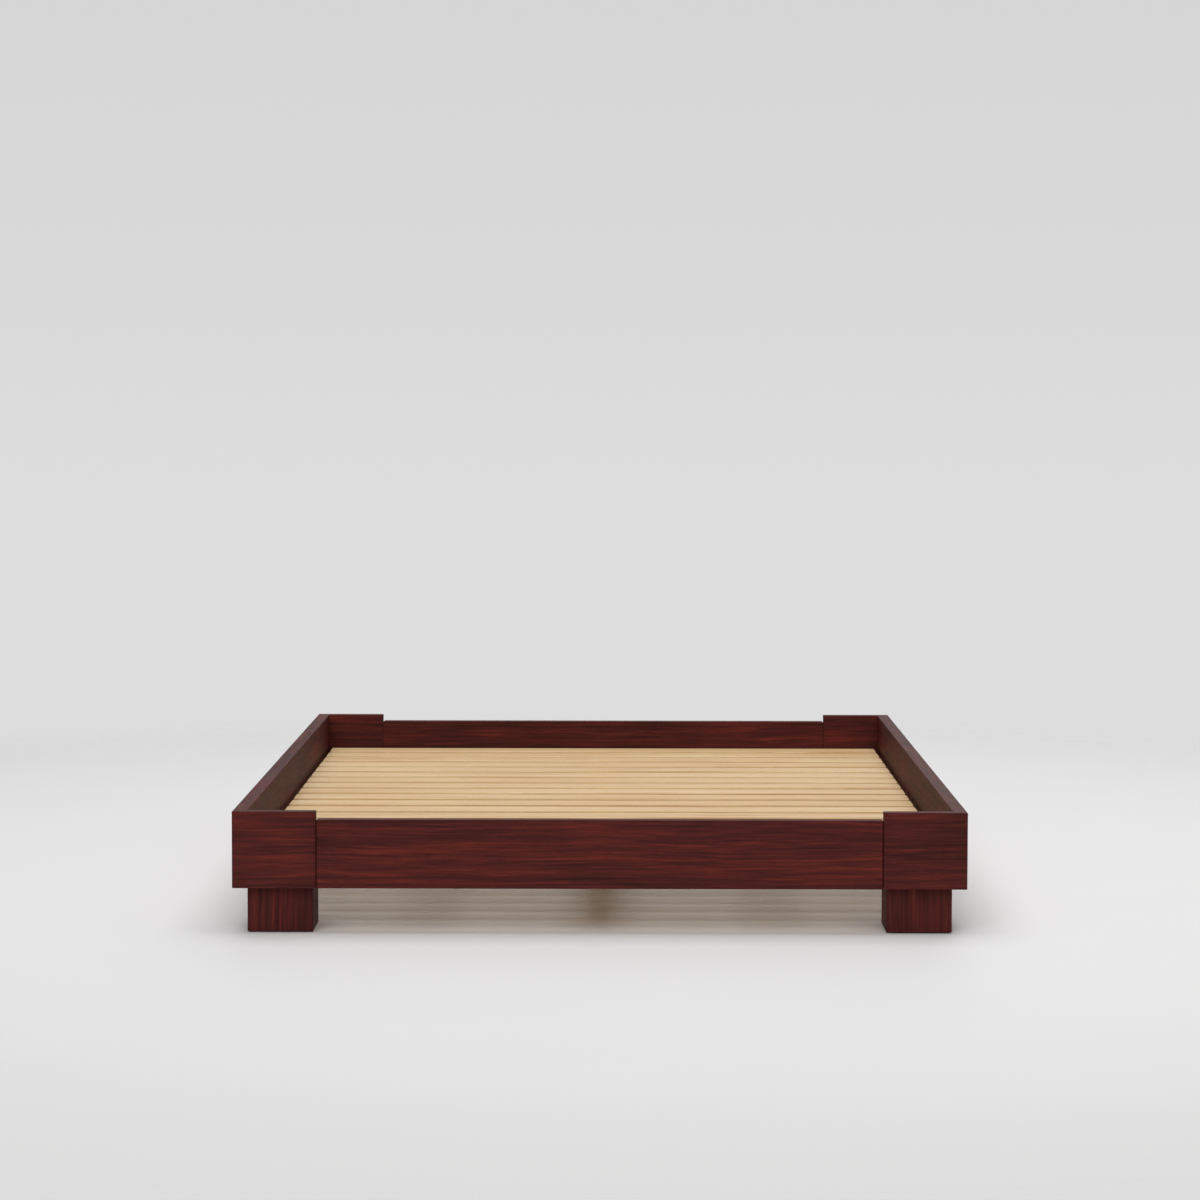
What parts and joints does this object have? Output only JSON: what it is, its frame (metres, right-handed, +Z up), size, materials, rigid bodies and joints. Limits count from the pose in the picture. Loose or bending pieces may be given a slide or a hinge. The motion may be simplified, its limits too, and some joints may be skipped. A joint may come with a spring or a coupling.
{
  "type": "low wooden bed frame",
  "caption": "Low platform bed frame of dark red-brown stained boards on square block legs, with raised corner boards, a centre beam and a lift-out mat of slats.",
  "frame": {"origin": "on the floor under the middle of the bed", "axes": "+X to the right seen from the foot end, +Y towards the head end, +Z up"},
  "size_m": [1.476, 2.076, 0.248],
  "materials": {
    "dark_stained_wood": "satin",
    "birch": "planed, matt lacquer",
    "zinc_plated_steel": "bright zinc",
    "brass": "dull",
    "cotton_webbing": "woven",
    "wool_felt": "pressed felt",
    "black_plastic": "moulded, fine texture"
  },
  "bodies": {
    "frame": {"side_rail_left": "dark_stained_wood", "side_rail_right": "dark_stained_wood", "corner_board_foot_left": "dark_stained_wood", "corner_board_foot_right": "dark_stained_wood", "corner_board_head_left": "dark_stained_wood", "corner_board_head_right": "dark_stained_wood", "foot_rail": "dark_stained_wood", "head_rail": "dark_stained_wood", "leg_foot_left": "dark_stained_wood", "leg_foot_right": "dark_stained_wood", "leg_head_left": "dark_stained_wood", "leg_head_right": "dark_stained_wood", "side_ledge_left": "birch", "side_ledge_right": "birch", "foot_cleat": "birch", "head_cleat": "birch", "centre_beam": "birch", "support_post_foot": "birch", "support_post_head": "birch", "mitre_dowels": "birch", "seam_dowels": "birch", "beam_hanger_foot": "zinc_plated_steel", "beam_hanger_head": "zinc_plated_steel", "angle_brackets": "zinc_plated_steel", "bracket_screws": "zinc_plated_steel", "leg_bolts": "zinc_plated_steel", "leg_washers": "zinc_plated_steel", "ledge_screws": "zinc_plated_steel", "cleat_screws": "zinc_plated_steel", "hanger_screws": "zinc_plated_steel", "post_screws": "zinc_plated_steel", "leg_inserts": "brass", "post_inserts": "brass", "felt_glides": "wool_felt"},
    "slat_mat": {"slat_01": "birch", "slat_02": "birch", "slat_03": "birch", "slat_04": "birch", "slat_05": "birch", "slat_06": "birch", "slat_07": "birch", "slat_08": "birch", "slat_09": "birch", "slat_10": "birch", "slat_11": "birch", "slat_12": "birch", "slat_13": "birch", "slat_14": "birch", "slat_15": "birch", "slat_16": "birch", "slat_17": "birch", "slat_18": "birch", "webbing_left": "cotton_webbing", "webbing_right": "cotton_webbing", "webbing_staples": "zinc_plated_steel"},
    "foot_pad_foot": {"levelling_pad_foot": "black_plastic"},
    "foot_stem_foot": {"levelling_stem_foot": "zinc_plated_steel"},
    "foot_pad_head": {"levelling_pad_head": "black_plastic"},
    "foot_stem_head": {"levelling_stem_head": "zinc_plated_steel"}
  },
  "joints": [
    {"name": "slat_mat_lift", "type": "slide", "parent": "frame", "child": "slat_mat", "axis": [0, 0, 1], "range_m": [0, 0.16]},
    {"name": "foot_height_foot", "type": "slide", "parent": "frame", "child": "foot_pad_foot", "axis": [0, 0, 1], "range_m": [-0.0101, 0.0064]},
    {"name": "stem_turn_foot", "type": "hinge", "parent": "foot_pad_foot", "child": "foot_stem_foot", "pos_m": [0, -0.34, 0.0065], "axis": [0, 0, 1], "range_deg": [-2880, 1800]},
    {"name": "foot_height_head", "type": "slide", "parent": "frame", "child": "foot_pad_head", "axis": [0, 0, 1], "range_m": [-0.0101, 0.0064]},
    {"name": "stem_turn_head", "type": "hinge", "parent": "foot_pad_head", "child": "foot_stem_head", "pos_m": [0, 0.34, 0.0065], "axis": [0, 0, 1], "range_deg": [-2880, 1800]}
  ],
  "couplings": [
    {"joint": "foot_height_foot", "follows": "stem_turn_foot", "m_per_rad": 0.00019894},
    {"joint": "foot_height_head", "follows": "stem_turn_head", "m_per_rad": 0.00019894}
  ]
}
